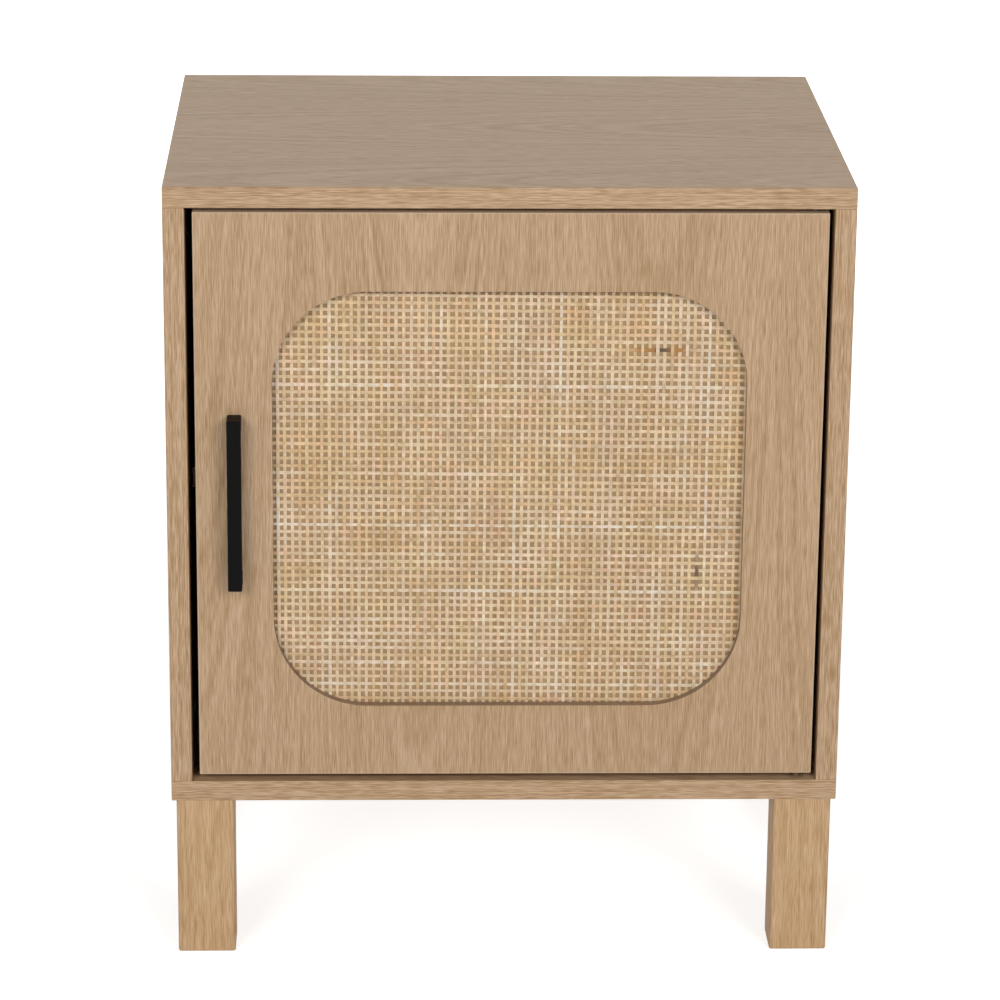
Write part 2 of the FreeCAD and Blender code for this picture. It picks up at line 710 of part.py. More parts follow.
def handle():
    """Bar handle: a flat-sided bar with a post at each end, bored from behind for its screws."""
    body = new_body("handle", "door_left + handle_inset - handle_width / 2", "door_front - handle_projection",
                    "door_bottom + handle_bottom")
    inner_top = "handle_length - handle_post"
    profile = [
        ("0", "0"), ("handle_projection", "0"), ("handle_projection", "handle_post"), ("handle_bar", "handle_post"),
        ("handle_bar", inner_top), ("handle_projection", inner_top), ("handle_projection", "handle_length"),
        ("0", "handle_length"),
    ]
    pad(body, polygon(body, "handle_profile", "YZ_Plane", profile), "handle_width")
    outer = on_two_sides(body)
    foot = number("handle_projection - handle_round")
    soften(body, "handle_edges", "handle_round", lambda edge: outer(edge) and edge.BoundBox.YMin < foot)
    spots = [("handle_width / 2", "handle_post / 2"), ("handle_width / 2", "handle_length - handle_post / 2")]
    drill(body, "handle_bores", "XZ_Plane", spots, "handle_screw_radius + hole_fit",
          "handle_screw_bite + hole_spare", True, "-handle_projection")
    keep(body, "handle")
    model = screw("handle_screw", "handle_screw_radius", "handle_screw_bite + door_board", "handle_head_radius",
                  "handle_head_height")
    levels = ("handle_bottom + handle_post / 2", "handle_bottom + handle_length - handle_post / 2")
    group("handle_screws", model, [
        ("door_left + handle_inset", "door_front - handle_screw_bite", "door_bottom + " + level, TO_REAR)
        for level in levels
    ])


def pivots():
    """Steel pins in the door's edges, flanged bushings sunk in the panels and the pad that carries the lower pin."""
    for label, gap, start in (
        ("upper_pivot_pin", "gap_above", "door_top - pivot_in_door"),
        ("lower_pivot_pin", "gap_below", "floor_level - pivot_in_panel"),
    ):
        length = "pivot_in_door + pivot_in_panel + " + gap
        pin = turned(label, [
            ("0", "0"), ("pivot_radius - pivot_tip", "0"), ("pivot_radius", "pivot_tip"),
            ("pivot_radius", length + " - pivot_tip"), ("pivot_radius - pivot_tip", length), ("0", length),
        ])
        keep(move(pin, "pivot_x", "pivot_y", start), label)
    bore = "pivot_radius + pivot_fit"
    shoulder = "blind_depth - bushing_flange"
    for label, level, turn in (
        ("upper_pivot_bushing", "ceiling + blind_depth", HANGING),
        ("lower_pivot_bushing", "floor_level - blind_depth", UPRIGHT),
    ):
        bushing = turned(label, [
            ("0", "0"), ("bushing_radius", "0"), ("bushing_radius", shoulder), ("bushing_flange_radius", shoulder),
            ("bushing_flange_radius", "blind_depth"), (bore, "blind_depth"), (bore, "bushing_bottom"),
            ("0", "bushing_bottom"),
        ])
        bushing.Placement = Placement(Vector(), turn)
        keep(move(bushing, "pivot_x", "pivot_y", level), label)
    pad_radius = "pivot_radius - pivot_fit"
    disc = turned("pivot_pad", [("0", "0"), (pad_radius, "0"), (pad_radius, "pivot_pad"), ("0", "pivot_pad")])
    keep(move(disc, "pivot_x", "pivot_y", "floor_level - blind_depth + bushing_bottom"), "pivot_pad")


# Magnetic catch

def catch():
    """Housing under the top panel, with a magnet between two pole plates that face the door's strike plate."""
    body = new_body("catch_housing", "catch_left", "catch_front", "ceiling - catch_drop")
    outline = rectangle(body, "catch_outline", "XY_Plane", "0", "catch_length", "0", "catch_depth")
    pad(body, outline, "catch_drop")
    lowest = number("catch_round")
    outer = on_two_sides(body)
    soften(body, "catch_edges", "catch_round", lambda edge: outer(edge) and edge.BoundBox.ZMax < lowest)
    mouth = rectangle(body, "magnet_mouth", "XZ_Plane", "(catch_length - magnet_length) / 2",
                      "(catch_length + magnet_length) / 2", "catch_drop - magnet_drop - magnet_half",
                      "catch_drop - magnet_drop + magnet_half")
    pocket(body, mouth, "magnet_depth", False)
    spots = [("(catch_length - catch_screw_spacing) / 2", "catch_depth / 2"),
             ("(catch_length + catch_screw_spacing) / 2", "catch_depth / 2")]
    drill(body, "catch_holes", "XY_Plane", spots, "catch_screw_radius + hole_fit", None, True)
    keep(body, "catch_housing")
    left = "catch_left + (catch_length - magnet_length) / 2"
    low = "ceiling - magnet_drop - magnet_thickness / 2"
    keep(primitive("Part::Box", "catch_magnet", left, "catch_front", low, Length="magnet_length",
                   Width="magnet_depth", Height="magnet_thickness"), "catch_magnet")
    plate = primitive("Part::Box", "pole_plate_model", Length="magnet_length", Width="magnet_depth + pole_proud",
                      Height="pole_plate")
    group("catch_pole_plates", plate, [
        (left, "catch_front - pole_proud", level, UPRIGHT)
        for level in (low + " - pole_plate", low + " + magnet_thickness")
    ])
    model = screw("catch_screw", "catch_screw_radius", "catch_drop + catch_screw_bite", "catch_head_radius",
                  "catch_head_height")
    group("catch_screws", model, [
        ("catch_left + " + x, "catch_front + " + y, "ceiling + catch_screw_bite", HANGING) for x, y in spots
    ])


def catch_holes_in_top(body):
    """Pilot holes for the catch's screws in the underside of the top panel."""
    spots = [("half_width + catch_left + (catch_length %s catch_screw_spacing) / 2" % sign,
              "catch_front - front + catch_depth / 2") for sign in "-+"]
    drill(body, "catch_pilots", "XY_Plane", spots, "catch_screw_radius + hole_fit",
          "catch_screw_bite + hole_spare", True)


def strike():
    """Strike plate on the back of the door, with sunk screws."""
    body = new_body("strike_plate", "door_left + catch_along - strike_length / 2", "door_rear",
                    "door_bottom + strike_middle - strike_height / 2")
    outline = rectangle(body, "strike_outline", "XZ_Plane", "0", "strike_length", "0", "strike_height")
    pad(body, outline, "strike_board", backwards=True)
    soften(body, "strike_corners", "strike_round", runs_along(Vector(0, 1, 0)))
    spots = [("(strike_length - strike_screw_spacing) / 2", "strike_height / 2"),
             ("(strike_length + strike_screw_spacing) / 2", "strike_height / 2")]
    drill(body, "strike_holes", "XZ_Plane", spots, "strike_screw_radius + hole_fit", None, False)
    drill(body, "strike_sinks", "XZ_Plane", spots, "strike_head_radius + hole_fit", "strike_sink", True,
          "-strike_board")
    keep(body, "strike_plate")
    model = screw("strike_screw", "strike_screw_radius", "strike_screw_bite + strike_board - strike_sink",
                  "strike_head_radius", "strike_sink")
    group("strike_screws", model, [
        ("door_left + catch_along %s strike_screw_spacing / 2" % sign, "door_rear - strike_screw_bite",
         "door_bottom + strike_middle", TO_REAR) for sign in "-+"
    ])


catch_holes_in_top(wide_panel("top_panel", "ceiling", "0", True))
bottom_panel()
side_panel("left_side_panel", "-half_width", "board", False)
side_panel("right_side_panel", "side_face", "0", True)
back_panel()
shelf()
shelf_pins()
legs()
leg_fixings()
dowels()
cam_bolts()
cam_locks()
door_frame()
rebate_panel("cane_panel", "0", "cane_thickness", "backing_screw_radius + hole_fit")
rebate_panel("door_backing", "cane_thickness", "backing_board", "backing_screw_radius + hole_fit")
backing_screws()
handle()
pivots()
catch()
strike()

doc.recompute()
for item in doc.Objects:
    if "Invalid" in item.State or "Error" in item.State:
        raise RuntimeError("%s failed: %s" % (item.Label, item.State))
for item in subparts:
    if item.Shape.isNull() or not item.Shape.isValid() or not item.Shape.Solids:
        raise RuntimeError("%s has no valid solid" % item.Label)

os.makedirs("parts", exist_ok=True)
for item in subparts:
    item.Shape.exportStep("parts/%s.step" % item.Label)
    print("%-22s %3d solids  %10.1f mm3" % (item.Label, len(item.Shape.Solids), item.Shape.Volume))
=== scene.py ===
import math

import bpy
import numpy as np
from bpy.props import FloatProperty, FloatVectorProperty, IntProperty, PointerProperty
from bpy.types import Operator, Panel, PropertyGroup
from mathutils import Matrix, Vector


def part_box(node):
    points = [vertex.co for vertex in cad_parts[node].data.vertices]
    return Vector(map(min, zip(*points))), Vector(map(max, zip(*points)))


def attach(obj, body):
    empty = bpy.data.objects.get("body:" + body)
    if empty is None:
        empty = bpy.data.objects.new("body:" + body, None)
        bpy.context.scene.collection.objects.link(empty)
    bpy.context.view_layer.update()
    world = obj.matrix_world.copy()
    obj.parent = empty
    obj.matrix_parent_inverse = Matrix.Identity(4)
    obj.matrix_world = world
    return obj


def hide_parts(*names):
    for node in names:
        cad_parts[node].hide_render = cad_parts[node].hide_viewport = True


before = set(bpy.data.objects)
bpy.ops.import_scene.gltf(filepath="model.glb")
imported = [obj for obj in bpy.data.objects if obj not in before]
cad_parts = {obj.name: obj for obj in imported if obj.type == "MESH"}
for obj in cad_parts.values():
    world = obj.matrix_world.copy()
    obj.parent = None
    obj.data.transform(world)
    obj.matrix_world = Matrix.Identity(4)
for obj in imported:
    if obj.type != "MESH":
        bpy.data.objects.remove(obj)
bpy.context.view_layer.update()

bl_info = {
    "name": "Cane Door Side Table",
    "version": (1, 0, 0),
    "blender": (4, 5, 0),
    "location": "3D View > Sidebar > Side Table",
    "description": "Oak, cane and metal finishes for a side table with one swinging door",
    "category": "Object",
}

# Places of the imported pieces

DOOR_LOW, DOOR_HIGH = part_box("door_frame")
CANE_LOW, CANE_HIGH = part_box("cane_panel")
BACKING_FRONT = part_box("door_backing")[0].y
BACK_LOW, BACK_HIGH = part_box("back_panel")
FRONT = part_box("top_panel")[0].y

# Oak: material, node, seed of the grain and, where the board stands, the place of its heart in metres

LYING_BOARDS = (
    ("oak_top", "top_panel", 0.0),
    ("oak_bottom", "bottom_panel", 11.0),
    ("oak_shelf", "shelf", 23.0),
)
STANDING_BOARDS = (
    ("oak_left_side", "left_side_panel", 37.0, -0.040),
    ("oak_right_side", "right_side_panel", 53.0, 0.030),
)
LEGS = ("front_left_leg", "rear_left_leg", "front_right_leg", "rear_right_leg")
LEG_SEED = 71.0
LEG_SEED_STEP = 13.0
LEG_HEART = 0.050  # how far in front of the leg
DOOR_SEED = 3.7
DOOR_HEART = -0.0615

# Oak: cells of noise per metre, and the sideways wander of the grain in metres

BEND_ALONG = 5.0
BEND_ACROSS = 16.0
BEND = 0.012
FIGURE_DEPTH = 250.0
FIGURE_DRIFT = 3.0
STRIP_JUMP = 7.3  # cells from one strip to the next
FIBRE_GLOSS = 0.12

# Where one finish ends and the next begins, as the two ways in metres between which it fades

EDGE_DEPTH = (0.0003, 0.0008)  # front edge of a board, from the front backwards
HIGHLIGHT_BAND_WIDTH = (0.0006, 0.0012)  # pale band with a painted edge highlight, from the door's outline inwards
HIGHLIGHT_BAND_COVER = 0.55
FACE_DEPTH = (0.00015, 0.00045)  # face of the door, from its front backwards
STILE_WIDTH = (0.030, 0.032)  # stiles and rails, from the door's outline inwards
CUT_DEPTH = (-0.0012, -0.0008)  # wall of the cut-out, from the board behind the cane backwards
BACK_FADE = (-0.0005, 0.0005)  # finished front of the back panel, from its middle backwards
GLOW_REACH = (0.5, 1.5)  # floor by the table, from its middle outwards

# Thin boards and bare metal: cells of noise per metre, and shares of two noises in the boards' colour

SPECKS = 900.0
SPECK_SHARE = 0.5
FIBRES_ACROSS = 240.0
FIBRES_ALONG = 20.0
FLECKS = 420.0
CLOUDS = 22.0
CLOUD_SHARE = 0.15
METAL_GRIT = 2400.0

# Roughness of the thin boards, and how much the noise of a finish changes its roughness

BOARD_ROUGHNESS = 0.62
BOARD_GLOSS = 0.2
METAL_GLOSS = 0.2
PEEL_GLOSS = 0.12

# Cane: what is kept on each point of a strand, and shares of the noises in its colour

STRAND_LABELS = ("tone", "along", "across", "stain")
MEAN_TONE = 0.36
OWN_SHARE = 0.34
PALE_SHARE = 0.15
AREA_SHARE = 0.50
PATCH_SHARE = 0.42
FIBRE_SHARE = 0.30
KNOT_SHARE = 0.30
PANEL_SHARE = 0.6
GRIT_LIGHT = 0.42
AREA_LIGHT = 0.2
RAGGED = 0.4
CANE_ROUGHNESS = 0.48
CANE_GLOSS = 0.15

# Cane: shape of the strands, in metres unless a note says otherwise

DRAW_SEED = 41
CANE_CORNER = 0.0776  # radius of the panel's corners
CANE_CLEARANCE = 0.00002  # from the panel's front back to the foremost strand
GREY_STAIN = (0.1363, 0.2895, 0.0220)  # its upright strand, height of its middle, half its length
BARK_PATCH = (0.4550, 0.1072, 0.0340)  # its lying strand, place of its middle, half its length
PATCH_PEAK = 1.15  # strength of a patch at its middle
SLOW_WANDER = 38.0  # radians per metre
QUICK_WANDER = 97.0  # radians per metre
QUICK_SHARE = 0.6
WANDER_SHARE = 0.5
WIDTH_SHARES = (0.90, 1.10)
FLATNESS = 1.6
TONE_SHAPE = 2.2  # both shapes of the beta spread of the strands' own tones
# Section of a strand in shares of half its width and thickness: flat behind and slightly domed in front
SECTION_ACROSS = np.array([-1.0, -1.0, 0.0, 1.0, 1.0])
SECTION_RISE = np.array([-1.0, 0.5, 1.0, 0.5, -1.0])

# Stage

WHITE = (1.0, 1.0, 1.0)
CLIP_END = 100.0


# Properties

def length(name, description, default):
    """A length in metres that a user may change."""
    return FloatProperty(name=name, description=description, default=default, unit="LENGTH", precision=5)


def amount(name, description, default, low=0.0, high=1.0):
    """A plain number between two limits."""
    return FloatProperty(name=name, description=description, default=default, min=low, max=high)


def power(name, description, default):
    """A lamp's power in watts."""
    return FloatProperty(name=name, description=description, default=default)


def angle(name, description, default):
    """An angle in radians."""
    return FloatProperty(name=name, description=description, default=default, subtype="ANGLE",
                         unit="ROTATION")


def colour(name, description, default, high=1.0):
    """A linear colour."""
    return FloatVectorProperty(name=name, description=description, default=default, size=3, subtype="COLOR",
                               min=0.0, max=high)


class OakSettings(PropertyGroup):
    """Colours and grain of the oak boards and legs"""
    pale: colour("Pale", "Palest fibres", (0.580, 0.402, 0.257))
    middle: colour("Middle", "Most of the surface", (0.460, 0.303, 0.175))
    dark: colour("Dark", "Dark fibres and pores", (0.340, 0.204, 0.093))
    leg_tint: colour("Leg tint", "What multiplies the boards' colour on the legs", (1.22, 1.22, 1.18), 2.0)
    # Pale band round the door: the edge band's own tone together with a painted highlight of the rounded edge
    edge_band_highlight: colour("Edge band", "Thin pale band round the door", (0.60, 0.46, 0.33))
    cut_edge: colour("Cut edge", "Wall of the door's cut-out", (0.27, 0.18, 0.115))
    flitch: length("Flitch", "Width from one heart of the figure to the next", 0.166)
    band_length: length("Band length", "Length of the figure's bands along a heart", 0.030)
    bow: length("Bow", "Way across a band, squared, over its way along", 0.0083)
    lying_heart: length("Lying heart", "How far behind the middle the heart of the lying boards is", 0.012)
    streak_width: length("Streak width", "Width of a streak", 0.00075)
    streak_length: length("Streak length", "Length of a streak", 0.080)
    pore_width: length("Pore width", "Width of a pore", 0.00050)
    pore_length: length("Pore length", "Length of a pore", 0.014)
    figure: amount("Figure", "Contrast of the bands", 1.15, 0.0, 5.0)
    streaks: amount("Streaks", "Contrast of the streaks", 1.36, 0.0, 5.0)
    pores: amount("Pores", "Contrast of the pores", 2.15, 0.0, 5.0)
    edge_contrast: amount("Edge contrast", "How much stronger the grain is on the boards' front edges", 0.65)
    edge_calm: amount("Edge calm", "How much of the figure is missing on the boards' front edges", 0.75)
    leg_contrast: amount("Leg contrast", "Contrast of the grain on the legs", 0.80, 0.0, 3.0)
    roughness: amount("Roughness", "Mean roughness of the satin surface", 0.46)
    board_shine: amount("Board shine", "Specular level of the boards", 0.5)
    leg_shine: amount("Leg shine", "Specular level of the legs", 0.03)


class CaneSettings(PropertyGroup):
    """Sizes and colours of the woven cane"""
    pitch_x: length("Pitch across", "Distance between neighbouring upright strands", 0.005225)
    pitch_z: length("Pitch up", "Distance between neighbouring lying strands", 0.00544)
    shift_x: length("Shift across", "How far the weave lies off the panel's middle to the right", -0.0011)
    shift_z: length("Shift up", "How far the weave lies off the panel's middle upwards", 0.00146)
    fall: amount("Fall", "How far the lying strands fall to the right, as a share of their length", 0.0084)
    strand_width: length("Strand width", "Width of one strand", 0.00232)
    strand_thickness: length("Strand thickness", "Thickness of one strand", 0.00062)
    wave: length("Wave", "How far a strand bends to either side of the weave", 0.00026)
    wander: length("Wander", "How far a strand wanders sideways", 0.00018)
    stations: IntProperty(name="Stations", description="Steps along one strand", default=256, min=16)
    golden: colour("Golden", "Warmest strands", (0.55, 0.368, 0.160))
    tan: colour("Tan", "Common strands", (0.657, 0.457, 0.254))
    cream: colour("Cream", "Pale strands", (0.745, 0.576, 0.380))
    white: colour("White", "Palest strands", (0.79, 0.690, 0.535))
    straw: colour("Straw", "Tint of the yellow stretches", (1.0, 0.973, 0.905), 2.0)
    rose: colour("Rose", "Tint of the pale stretches", (1.0, 1.006, 1.12), 2.0)
    ashen: colour("Ashen", "Tint of the common cool stretches", (0.985, 1.012, 1.010), 2.0)
    orange: colour("Orange", "Tint of the scarcer warm spots", (1.045, 0.960, 0.945), 2.0)
    light: amount("Light", "Brightness of the strands", 0.98, 0.0, 2.0)
    honey: colour("Honey", "Rim of a patch of bark", (0.40, 0.19, 0.055))
    bark: colour("Bark", "Brown bark left on a strand", (0.090, 0.066, 0.038))
    stain: colour("Stain", "Rim of a grey stain", (0.30, 0.195, 0.140))
    dark_stain: colour("Dark stain", "Core of a grey stain", (0.165, 0.098, 0.076))


class FittingSettings(PropertyGroup):
    """Colours of the handle and the fittings"""
    handle: colour("Handle", "Matt black coating", (0.0036, 0.0036, 0.0037))
    steel: colour("Steel", "Zinc-plated steel", (0.58, 0.58, 0.57))
    brass: colour("Brass", "Turned brass", (0.72, 0.53, 0.25))
    pin: colour("Pin", "Brown coating of the pivot pins", (0.150, 0.100, 0.062))
    bushing: colour("Bushing", "Plastic of the oak's colour", (0.38, 0.25, 0.145))
    catch: colour("Catch", "Brown plastic", (0.20, 0.115, 0.062))
    ferrite: colour("Ferrite", "Pressed ferrite", (0.035, 0.034, 0.036))
    beech: colour("Beech", "Beech dowels", (0.62, 0.45, 0.28))
    hardboard: colour("Hardboard", "Board behind the cane and front of the back panel", (0.435, 0.288, 0.150))
    raw_back: colour("Raw back", "Unfinished rear of the back panel", (0.33, 0.215, 0.125))


class StudioSettings(PropertyGroup):
    """Camera, lamps and floor"""
    camera_place: FloatVectorProperty(name="Camera place", description="Where the camera stands", size=3,
                                      default=(-0.09422, -2.92042, 1.24221), subtype="TRANSLATION",
                                      unit="LENGTH")
    camera_turn: FloatVectorProperty(name="Camera turn", description="Pitch below the horizon, roll and yaw",
                                     size=3, default=(0.31502, 0.00977, -0.03236), subtype="EULER",
                                     unit="ROTATION")
    lens: FloatProperty(name="Lens", description="Focal length in millimetres", default=147.5)
    lamp_power: power("Lamp power", "Power of each soft box in front in watts", 146.0)
    lamp_distance: length("Lamp distance", "From the door's middle to a soft box", 6.0)
    lamp_size: length("Lamp size", "Width and height of a soft box", 2.0)
    lamp_side: angle("Lamp side", "Turn of each soft box from the front", 0.44)
    lamp_rise: angle("Lamp rise", "Rise of each soft box above the middle", 0.41)
    rear_power: power("Rear power", "Power of the soft box behind in watts", 108.0)
    sky_power: power("Overhead power", "Power of the overhead soft box in watts", 1.2)
    sky_height: length("Overhead height", "Height of the overhead soft box", 2.4)
    sky_size: length("Overhead size", "Width and depth of the overhead soft box", 2.2)
    ambient: amount("Ambient", "Strength of the room's diffuse light", 0.10)
    floor: colour("Floor", "Pale floor", (0.80, 0.80, 0.80))
    floor_glow: amount("Floor glow", "What the floor by the table gains where it is seen directly", 0.69)
    floor_size: length("Floor size", "Half the floor's width", 14.0)


class SideTableSettings(PropertyGroup):
    """All the settings of the side table"""
    oak: PointerProperty(type=OakSettings)
    cane: PointerProperty(type=CaneSettings)
    fittings: PointerProperty(type=FittingSettings)
    studio: PointerProperty(type=StudioSettings)


# Shader maths

class Term:
    """A number that varies over a surface; arithmetic on it adds Math nodes."""

    def __init__(self, sheet, socket):
        self.sheet = sheet
        self.socket = socket

    def __add__(self, other):
        return self.sheet.math("ADD", self, other)

    def __radd__(self, other):
        return self.sheet.math("ADD", other, self)

    def __sub__(self, other):
        return self.sheet.math("SUBTRACT", self, other)

    def __rsub__(self, other):
        return self.sheet.math("SUBTRACT", other, self)

    def __mul__(self, other):
        return self.sheet.math("MULTIPLY", self, other)

    def __rmul__(self, other):
        return self.sheet.math("MULTIPLY", other, self)

    def __truediv__(self, other):
        return self.sheet.math("DIVIDE", self, other)


class Sheet:
    """The node sheet of one material or world, with one method that adds any node."""

    def __init__(self, owner):
        owner.use_nodes = True
        self.owner = owner
        self.tree = owner.node_tree
        self.tree.nodes.clear()

    def add(self, kind, settings=None, values=None):
        """A node of a type: its settings first, then the values or links of its sockets."""
        node = self.tree.nodes.new(kind)
        for name, value in (settings or {}).items():
            if name == "stops":
                self.set_stops(node.color_ramp, value)
            else:
                setattr(node, name, value)
        for name, value in (values or {}).items():
            if isinstance(value, Term):
                self.tree.links.new(value.socket, node.inputs[name])
            elif isinstance(value, bpy.types.NodeSocket):
                self.tree.links.new(value, node.inputs[name])
            else:
                node.inputs[name].default_value = value
        return node

    @staticmethod
    def set_stops(ramp, stops):
        """Colour stops of a ramp, as pairs of place and colour."""
        while len(ramp.elements) < len(stops):
            ramp.elements.new(1.0)
        for element, (place, shade) in zip(ramp.elements, stops):
            element.position = place
            element.color = (*shade, 1.0)

    def math(self, operation, *values):
        """One Math node."""
        node = self.add("ShaderNodeMath", {"operation": operation}, dict(enumerate(values)))
        return Term(self, node.outputs[0])

    def step(self, value, low, high):
        """A smooth rise from 0 at low to 1 at high."""
        node = self.add("ShaderNodeMapRange", {"interpolation_type": "SMOOTHSTEP"},
                        {"Value": value, "From Min": low, "From Max": high})
        return Term(self, node.outputs["Result"])

    def place(self):
        """The point's own coordinates, as three terms."""
        spot = self.add("ShaderNodeTexCoord").outputs["Object"]
        parts = self.add("ShaderNodeSeparateXYZ", None, {"Vector": spot})
        return [Term(self, parts.outputs[axis]) for axis in "XYZ"]

    def vector(self, x, y, z):
        """A vector of three terms or numbers."""
        return self.add("ShaderNodeCombineXYZ", None, {"X": x, "Y": y, "Z": z}).outputs["Vector"]

    def noise(self, spot, detail=2.0, roughness=0.5):
        """Noise about 0, at a vector that is already scaled."""
        node = self.add("ShaderNodeTexNoise", {"noise_dimensions": "3D"},
                        {"Vector": spot, "Scale": 1.0, "Detail": detail, "Roughness": roughness})
        return Term(self, node.outputs["Fac"]) - 0.5

    def speckle(self, place, cells, seed, detail=2.0, roughness=0.5):
        """Noise about 0 with as many cells per metre each way, set apart by a seed."""
        x, y, z = place
        return self.noise(self.vector(x * cells, y * cells, z * cells + seed), detail, roughness)

    def attribute(self, name):
        """A number kept on the mesh."""
        return Term(self, self.add("ShaderNodeAttribute", {"attribute_name": name}).outputs["Fac"])

    def ramp(self, value, stops):
        """A colour read from stops."""
        return self.add("ShaderNodeValToRGB", {"stops": stops}, {"Fac": value}).outputs["Color"]

    def mix(self, factor, first, second, blend="MIX"):
        """Two colours mixed by a factor."""
        first = first if isinstance(first, bpy.types.NodeSocket) else (*first, 1.0)
        second = second if isinstance(second, bpy.types.NodeSocket) else (*second, 1.0)
        node = self.add("ShaderNodeMix", {"data_type": "RGBA", "blend_type": blend},
                        {0: factor, 6: first, 7: second})
        return node.outputs[2]

    def tinted(self, shade, tint):
        """A colour multiplied by another."""
        return self.mix(1.0, shade, tint, "MULTIPLY")

    def mottled(self, value, reach, shade, dark, pale):
        """A colour from a dark to a pale multiple of a shade, as a value rises from -reach to reach."""
        darker = [part * dark for part in shade]
        paler = [min(1.0, part * pale) for part in shade]
        return self.mix(self.step(value, -reach, reach), darker, paler)

    def surface(self, values, height, depth, strength):
        """Principled surface as the material's output, with bumps of a depth in metres by a height."""
        bump = self.add("ShaderNodeBump", None, {"Height": height, "Distance": depth, "Strength": strength})
        shader = self.add("ShaderNodeBsdfPrincipled", None, {**values, "Normal": bump.outputs["Normal"]})
        self.add("ShaderNodeOutputMaterial", None, {"Surface": shader.outputs[0]})
        return self.owner


def new_sheet(name):
    """A node sheet for a new material."""
    return Sheet(bpy.data.materials.new(name))


def dress(material, *names):
    """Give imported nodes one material."""
    for name in names:
        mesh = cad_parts[name].data
        mesh.materials.clear()
        mesh.materials.append(material)


# Finishes

def oak_tone(sheet, oak, spots, heart, seed, contrast=1.0, figured=1.0):
    """Tone of oak from 0, dark, to 1, pale, with its fibre height.

    The figure is noise of one distance: the way along the grain less the square of the way across from the
    nearest heart over the bow, so its bands are nested arches that run out into straight lines. It changes
    slowly along the grain and at once from strip to strip. Streaks and pores are noise drawn out along it.
    """
    along, across, deep = spots
    bend = sheet.noise(sheet.vector(along * BEND_ALONG, across * BEND_ACROSS, deep * BEND_ACROSS + seed))
    side = across - heart + bend * BEND
    away = sheet.math("PINGPONG", side, oak.flitch / 2)
    rings = (along - away * away / oak.bow) / oak.band_length
    strip = sheet.math("ROUND", side / oak.flitch)
    figure = sheet.noise(sheet.vector(rings, deep * FIGURE_DEPTH + seed,
                                      along * FIGURE_DRIFT + strip * STRIP_JUMP))
    streak = sheet.noise(sheet.vector(along / oak.streak_length + seed, across / oak.streak_width,
                                      deep / oak.streak_width), roughness=0.6)
    pore = sheet.noise(sheet.vector(along / oak.pore_length + seed, across / oak.pore_width,
                                    deep / oak.pore_width), detail=1.0)
    grain = figure * oak.figure * figured + streak * oak.streaks + pore * oak.pores
    return 0.5 + grain * contrast, streak + pore


def oak_colour(sheet, oak, tone):
    """Colour of a tone of oak."""
    return sheet.ramp(tone, [(0.0, oak.dark), (0.5, oak.middle), (1.0, oak.pale)])


def oak_surface(sheet, oak, shade, height, shine):
    """Satin oak."""
    values = {"Base Color": shade, "Roughness": oak.roughness - height * FIBRE_GLOSS,
              "Specular IOR Level": shine}
    return sheet.surface(values, height, depth=0.00006, strength=0.35)


def edge_grain(sheet, oak, y):
    """Contrast of the grain, higher on a board's front edge, and strength of its figure, lower there."""
    edge = 1.0 - sheet.step(y - FRONT, *EDGE_DEPTH)
    return 1.0 + oak.edge_contrast * edge, 1.0 - oak.edge_calm * edge


def lying_oak(name, oak, seed):
    """Oak with its grain from left to right, for the panels that lie."""
    sheet = new_sheet(name)
    x, y, z = sheet.place()
    tone, height = oak_tone(sheet, oak, (x, y, z), oak.lying_heart, seed, *edge_grain(sheet, oak, y))
    return oak_surface(sheet, oak, oak_colour(sheet, oak, tone), height, oak.board_shine)


def standing_oak(name, oak, seed, heart):
    """Oak with upright grain, for the sides."""
    sheet = new_sheet(name)
    x, y, z = sheet.place()
    tone, height = oak_tone(sheet, oak, (z, y, x), heart, seed, *edge_grain(sheet, oak, y))
    return oak_surface(sheet, oak, oak_colour(sheet, oak, tone), height, oak.board_shine)


def leg_oak(name, oak, seed, heart):
    """Oak with upright grain, tinted and less shiny, for the legs."""
    sheet = new_sheet(name)
    x, y, z = sheet.place()
    tone, height = oak_tone(sheet, oak, (z, y, x), heart, seed, oak.leg_contrast)
    shade = sheet.tinted(oak_colour(sheet, oak, tone), oak.leg_tint)
    return oak_surface(sheet, oak, shade, height, oak.leg_shine)


def door_oak(name, oak):
    """Upright oak with a thin pale band of edge band and painted highlight round it, and a brown cut-out
    wall.
    """
    sheet = new_sheet(name)
    x, y, z = sheet.place()
    tone, height = oak_tone(sheet, oak, (z, x, y), DOOR_HEART, DOOR_SEED)
    shade = oak_colour(sheet, oak, tone)
    from_side = sheet.math("MINIMUM", x - DOOR_LOW.x, DOOR_HIGH.x - x)
    from_end = sheet.math("MINIMUM", z - DOOR_LOW.z, DOOR_HIGH.z - z)
    edge = sheet.math("MINIMUM", from_side, from_end)
    # Pale band round the outline: the edge band's tone and a painted highlight where the rounded edge catches
    # light
    band = 1.0 - sheet.step(edge, *HIGHLIGHT_BAND_WIDTH)
    shade = sheet.mix(band * HIGHLIGHT_BAND_COVER, shade, oak.edge_band_highlight)
    behind = sheet.step(y - DOOR_LOW.y, *FACE_DEPTH)
    inside = sheet.step(edge, *STILE_WIDTH)
    front_part = 1.0 - sheet.step(y - BACKING_FRONT, *CUT_DEPTH)
    shade = sheet.mix(behind * inside * front_part, shade, oak.cut_edge)
    return oak_surface(sheet, oak, shade, height, oak.board_shine)


